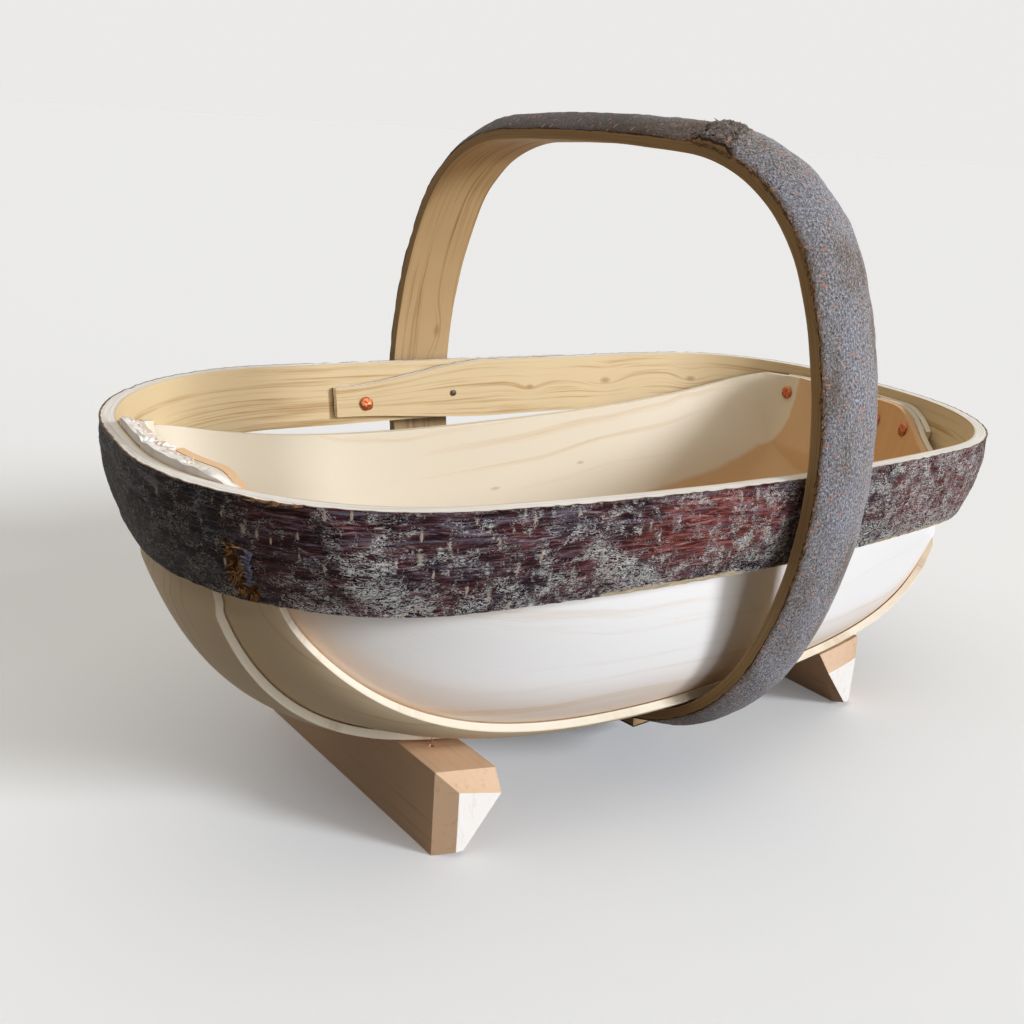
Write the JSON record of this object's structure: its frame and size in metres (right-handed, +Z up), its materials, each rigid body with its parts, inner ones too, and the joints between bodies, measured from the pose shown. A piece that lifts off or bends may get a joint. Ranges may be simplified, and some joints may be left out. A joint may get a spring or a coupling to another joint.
{
  "type": "garden trug",
  "caption": "Shallow boat-shaped garden basket of thin overlapping willow boards inside a bent rim strap, with an upright hoop handle, two wedge feet and copper tacks.",
  "frame": {"origin": "on the floor under the middle of the trug", "axes": "+X along the trug from the left end to the right end, -Y towards the front side, +Z up"},
  "size_m": [0.4455, 0.2684, 0.2754],
  "materials": {
    "rim_chestnut": "cleft strap with dark bark left on its outside",
    "handle_chestnut": "cleft strap with grey-brown bark left on its outside",
    "willow": "bare shaved wood, satin",
    "foot_willow": "bare sawn and shaved wood",
    "copper": "dull copper tack heads",
    "iron": "dark thin wire pins"
  },
  "bodies": {
    "root": {"rim_hoop": "rim_chestnut", "handle_hoop": "handle_chestnut", "centre_board": "willow", "second_board_front": "willow", "second_board_back": "willow", "side_board_front": "willow", "side_board_back": "willow", "foot_left": "foot_willow", "foot_right": "foot_willow", "foot_left_tack_1": "copper", "foot_left_tack_2": "copper", "foot_right_tack_1": "copper", "foot_right_tack_2": "copper", "handle_tack_1": "copper", "handle_tack_2": "copper", "handle_tack_3": "copper", "handle_tack_4": "copper", "left_end_tack_1": "copper", "left_end_tack_2": "copper", "left_end_tack_3": "copper", "left_end_tack_4": "copper", "right_end_tack_1": "copper", "right_end_tack_2": "copper", "right_end_tack_3": "copper", "right_end_tack_4": "copper", "rim_lap_tack_1": "copper", "handle_pin_1": "iron", "handle_pin_2": "iron"}
  },
  "joints": []
}
